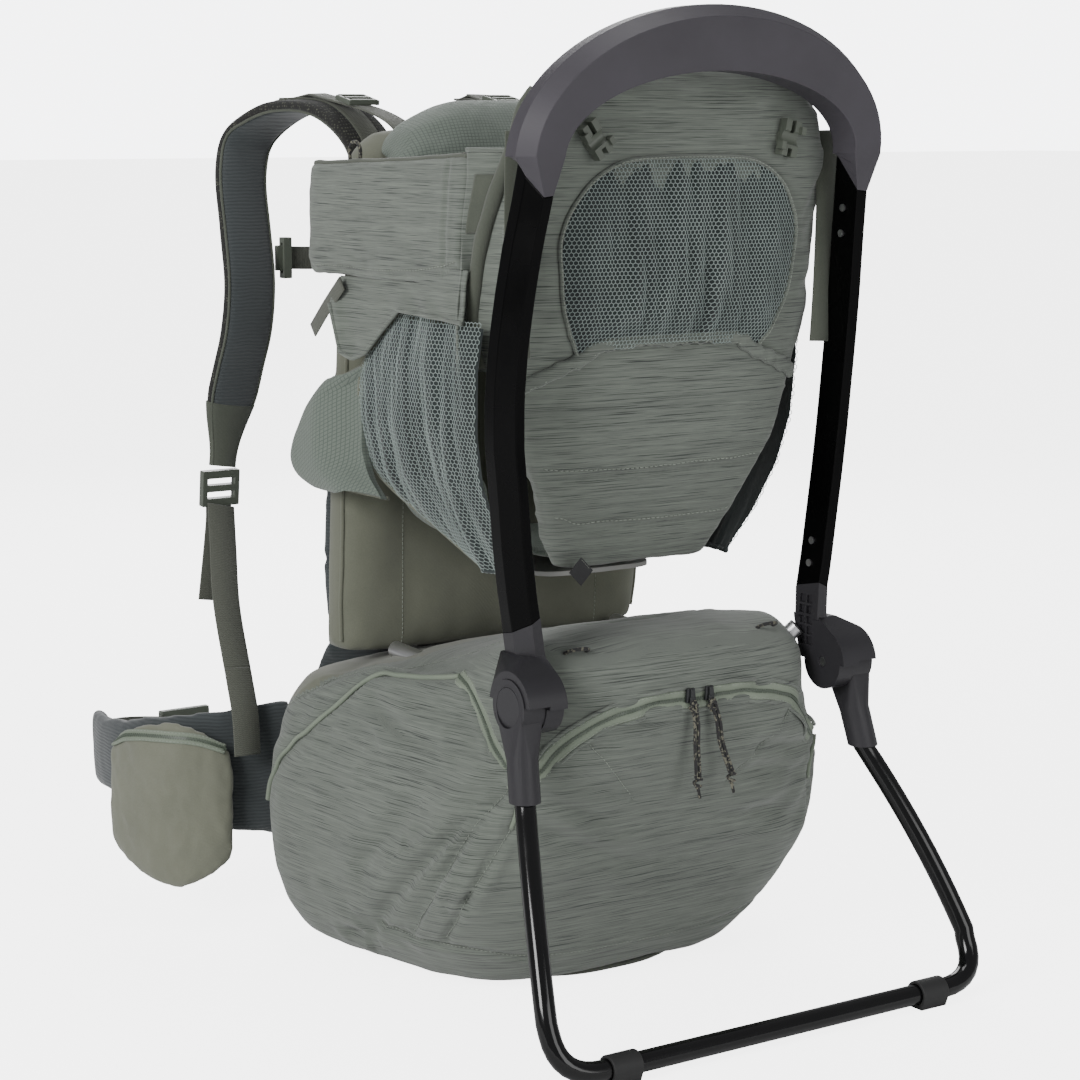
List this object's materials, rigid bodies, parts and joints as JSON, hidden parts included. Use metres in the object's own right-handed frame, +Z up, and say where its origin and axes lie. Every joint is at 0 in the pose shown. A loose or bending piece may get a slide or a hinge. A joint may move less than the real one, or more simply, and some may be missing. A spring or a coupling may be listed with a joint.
{
  "type": "child carrier backpack",
  "caption": "Framed backpack that carries a small child in a padded cockpit, with a fold-out floor stand, a cargo bag, a shoulder harness and a hip belt.",
  "frame": {"origin": "on the floor, at the middle of the flat base of the bag under the child's seat", "axes": "+Z up, +Y towards the wearer's back, -Y the side with the folding stand, X across the pack, X = 0 its plane of symmetry"},
  "size_m": [0.5436, 0.7426, 0.77],
  "materials": {
    "frame_black": "gloss black moulding",
    "arch_charcoal": "fine matt grain",
    "screw_steel": "zinc plated",
    "stand_black": "gloss black powder coat",
    "foot_rubber": "matt",
    "inner_tube": "satin",
    "board_plastic": "plain sheet",
    "heather_cloth": "heather weave",
    "sage_cloth": "plain weave",
    "grid_cloth": "grid weave",
    "mesh_cloth": "open mesh",
    "pad_cloth": "ribbed spacer",
    "knit_cloth": "speckled spacer knit",
    "webbing": "woven tape",
    "buckle_green": "satin",
    "buckle_black": "satin",
    "zip_tape": "zip tape",
    "cord": "braided cord"
  },
  "bodies": {
    "pack": {"handle_arch": "arch_charcoal", "upright_left": "frame_black", "upright_right": "frame_black", "frame_screws": "screw_steel", "hinge_housing_left": "arch_charcoal", "hinge_housing_right": "arch_charcoal", "pivot_pins": "screw_steel", "side_rails": "inner_tube", "back_frame": "inner_tube", "back_panel": "sage_cloth", "back_padding": "pad_cloth", "lumbar_pad": "pad_cloth", "seat_board": "board_plastic", "seat_saddle": "grid_cloth", "seat_wing_left": "grid_cloth", "seat_wing_right": "grid_cloth", "rear_seat_panel": "heather_cloth", "rear_mesh_pocket": "mesh_cloth", "side_mesh_left": "mesh_cloth", "side_mesh_right": "mesh_cloth", "cockpit_band_left": "heather_cloth", "cockpit_band_right": "heather_cloth", "face_pad": "sage_cloth", "child_harness_left": "knit_cloth", "child_harness_right": "knit_cloth", "crotch_strap": "webbing", "harness_buckle": "buckle_black", "bag_body": "heather_cloth", "bag_base_panel": "heather_cloth", "bag_zip": "zip_tape", "cord_loops": "cord", "load_lifter_left": "webbing", "load_lifter_right": "webbing", "strap_webbing_left": "webbing", "strap_webbing_right": "webbing", "care_tag": "cord"},
    "stand": {"leg_socket_left": "arch_charcoal", "leg_socket_right": "arch_charcoal", "stand_tube": "stand_black", "stand_feet": "foot_rubber", "pivot_caps": "arch_charcoal"},
    "clip_left": {"shade_clip_left": "buckle_green"},
    "clip_right": {"shade_clip_right": "buckle_green"},
    "slider_left": {"zip_slider_left": "buckle_black"},
    "slider_right": {"zip_slider_right": "buckle_black"},
    "harness": {"harness_yoke": "knit_cloth", "shoulder_strap_left": "pad_cloth", "shoulder_strap_right": "pad_cloth", "strap_lock_left": "buckle_green", "strap_lock_right": "buckle_green"},
    "sternum": {"sternum_sliders": "buckle_green", "sternum_webbing": "webbing", "sternum_buckle_female": "buckle_green"},
    "sternum_tongue": {"sternum_buckle_male": "buckle_green"},
    "belt_left": {"hip_wing_left": "pad_cloth", "hip_pocket_left": "sage_cloth", "hip_buckle_female": "buckle_green"},
    "belt_right": {"hip_wing_right": "pad_cloth", "hip_pocket_right": "sage_cloth", "hip_buckle_male": "buckle_green"}
  },
  "joints": [
    {"name": "stand_fold", "type": "hinge", "parent": "pack", "child": "stand", "pos_m": [0, -0.213, 0.257], "axis": [1, 0, 0], "range_deg": [0, 32]},
    {"name": "clip_left_swivel", "type": "hinge", "parent": "pack", "child": "clip_left", "pos_m": [-0.091, -0.205, 0.672], "axis": [0, 1, 0], "range_deg": [-40, 40]},
    {"name": "clip_right_swivel", "type": "hinge", "parent": "pack", "child": "clip_right", "pos_m": [0.091, -0.205, 0.672], "axis": [0, 1, 0], "range_deg": [-40, 40]},
    {"name": "zip_left_slide", "type": "slide", "parent": "pack", "child": "slider_left", "axis": [-1, 0, 0], "range_m": [0, 0.06]},
    {"name": "zip_right_slide", "type": "slide", "parent": "pack", "child": "slider_right", "axis": [1, 0, 0], "range_m": [0, 0.06]},
    {"name": "torso_height", "type": "slide", "parent": "pack", "child": "harness", "axis": [0, 0, 1], "range_m": [-0.05, 0], "deforming": ["load_lifter_left", "load_lifter_right", "strap_webbing_left", "strap_webbing_right"]},
    {"name": "sternum_height", "type": "slide", "parent": "harness", "child": "sternum", "axis": [0, 0, 1], "range_m": [-0.03, 0.03]},
    {"name": "sternum_release", "type": "slide", "parent": "sternum", "child": "sternum_tongue", "axis": [1, 0, 0], "range_m": [0, 0.024], "deforming": ["sternum_webbing"]},
    {"name": "belt_left_swing", "type": "hinge", "parent": "pack", "child": "belt_left", "pos_m": [-0.14, 0.172, 0], "axis": [0, 0, 1], "range_deg": [0, 20]},
    {"name": "belt_right_swing", "type": "hinge", "parent": "pack", "child": "belt_right", "pos_m": [0.14, 0.172, 0], "axis": [0, 0, -1], "range_deg": [0, 20]}
  ]
}
